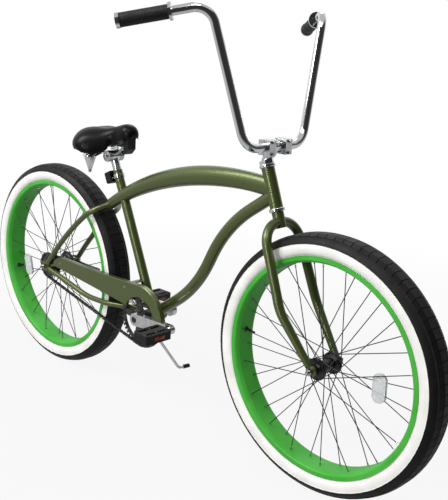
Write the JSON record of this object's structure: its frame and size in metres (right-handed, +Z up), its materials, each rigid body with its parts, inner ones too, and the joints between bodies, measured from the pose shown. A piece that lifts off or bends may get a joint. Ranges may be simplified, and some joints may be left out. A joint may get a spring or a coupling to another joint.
{
  "type": "beach cruiser bicycle",
  "caption": "Balloon-tyre cruiser bicycle with an arched top tube, swept high-rise bars, sprung saddle, coaster brake, chain guard and kickstand, built from moving sub-parts.",
  "frame": {"origin": "on the ground, midway between the two axles in the middle plane", "axes": "+X forward, +Y to the rider's left, +Z up"},
  "size_m": [1.796, 0.7228, 1.1858],
  "materials": {
    "tyre_rubber": "matt black with a white wall band",
    "green_rim_paint": "gloss bright green",
    "black_enamel": "satin black",
    "clear_reflector": "clear prismatic",
    "zinc_steel": "bright zinc",
    "olive_paint": "satin metallic olive",
    "chrome_plate": "polished",
    "cast_alloy": "satin silver",
    "black_plastic": "moulded black",
    "black_rubber": "matt black",
    "black_vinyl": "smooth glossy black cover"
  },
  "bodies": {
    "frame": {"head_tube": "olive_paint", "top_tube": "olive_paint", "down_tube": "olive_paint", "seat_tube": "olive_paint", "bottom_bracket_shell": "olive_paint", "chainstays": "olive_paint", "seatstays": "olive_paint", "rear_dropouts": "olive_paint", "stay_bridges": "olive_paint", "headset_cups": "chrome_plate", "bottom_bracket_cups": "zinc_steel", "chainguard": "olive_paint", "seat_clamp": "zinc_steel", "rear_reflector": "black_plastic", "kickstand_bracket": "cast_alloy", "rear_axle": "zinc_steel", "rear_axle_nuts": "zinc_steel", "coaster_brake_arm": "zinc_steel", "chain": "zinc_steel"},
    "fork": {"fork_steerer": "olive_paint", "fork_leg_left": "olive_paint", "fork_leg_right": "olive_paint", "headset_locknut": "chrome_plate", "stem": "chrome_plate", "stem_clamp_caps": "chrome_plate", "stem_bolts": "zinc_steel", "front_axle": "zinc_steel", "front_axle_nuts": "zinc_steel"},
    "handlebar": {"handlebar": "chrome_plate", "grip_right": "black_rubber", "grip_left": "black_rubber", "grip_collars": "chrome_plate"},
    "front_wheel": {"front_tyre": "tyre_rubber", "front_rim": "green_rim_paint", "front_hub": "black_enamel", "front_spokes": "black_enamel", "front_wheel_reflector": "clear_reflector"},
    "rear_wheel": {"rear_tyre": "tyre_rubber", "rear_rim": "green_rim_paint", "rear_hub": "black_enamel", "rear_spokes": "black_enamel", "rear_wheel_reflector": "clear_reflector"},
    "rear_sprocket": {"rear_sprocket": "zinc_steel"},
    "crank": {"chainring": "cast_alloy", "crank_spindle": "zinc_steel", "crank_arm_right": "cast_alloy", "crank_arm_left": "cast_alloy", "pedal_spindles": "zinc_steel"},
    "pedal_right": {"pedal_right": "black_plastic"},
    "pedal_left": {"pedal_left": "black_plastic"},
    "kickstand": {"kickstand_leg": "cast_alloy", "kickstand_foot": "black_rubber"},
    "seat_post": {"seat_post": "chrome_plate", "saddle_clamp": "zinc_steel"},
    "saddle": {"saddle_rail_clamps": "zinc_steel", "saddle_rails": "zinc_steel", "saddle_base": "black_plastic", "saddle_cushion": "black_vinyl", "saddle_springs": "zinc_steel", "saddle_spring_cups": "chrome_plate"}
  },
  "joints": [
    {"name": "steering", "type": "hinge", "parent": "frame", "child": "fork", "pos_m": [0.36701, 0, 0.70395], "axis": [-0.3697, 0, 0.9291], "range_deg": [-75, 75]},
    {"name": "handlebar_roll", "type": "hinge", "parent": "fork", "child": "handlebar", "pos_m": [0.3473, 0, 0.85651], "axis": [0, 1, 0], "range_deg": [-20, 20]},
    {"name": "front_wheel_spin", "type": "hinge", "parent": "fork", "child": "front_wheel", "pos_m": [0.56, 0, 0.338], "axis": [0, 1, 0], "continuous": true},
    {"name": "rear_wheel_spin", "type": "hinge", "parent": "frame", "child": "rear_wheel", "pos_m": [-0.56, 0, 0.338], "axis": [0, 1, 0], "continuous": true},
    {"name": "crank_spin", "type": "hinge", "parent": "frame", "child": "crank", "pos_m": [-0.08, 0, 0.29], "axis": [0, 1, 0], "continuous": true},
    {"name": "rear_sprocket_spin", "type": "hinge", "parent": "frame", "child": "rear_sprocket", "pos_m": [-0.56, 0, 0.338], "axis": [0, 1, 0], "continuous": true},
    {"name": "pedal_right_spin", "type": "hinge", "parent": "crank", "child": "pedal_right", "pos_m": [0.06952, 0, 0.30203], "axis": [0, 1, 0], "continuous": true},
    {"name": "pedal_left_spin", "type": "hinge", "parent": "crank", "child": "pedal_left", "pos_m": [-0.22952, 0, 0.27797], "axis": [0, 1, 0], "continuous": true},
    {"name": "kickstand_fold", "type": "hinge", "parent": "frame", "child": "kickstand", "pos_m": [-0.27391, 0.05453, 0.27581], "axis": [-0.299, 0.9542, 0], "range_deg": [0, 113]},
    {"name": "seatpost_height", "type": "slide", "parent": "frame", "child": "seat_post", "axis": [-0.4106, 0, 0.9118], "range_m": [-0.02, 0.08]},
    {"name": "saddle_tilt", "type": "hinge", "parent": "seat_post", "child": "saddle", "pos_m": [-0.28446, 0, 0.74409], "axis": [0, 1, 0], "range_deg": [-10, 10]}
  ],
  "couplings": [
    {"joint": "rear_sprocket_spin", "follows": "crank_spin", "ratio": 2.2}
  ]
}
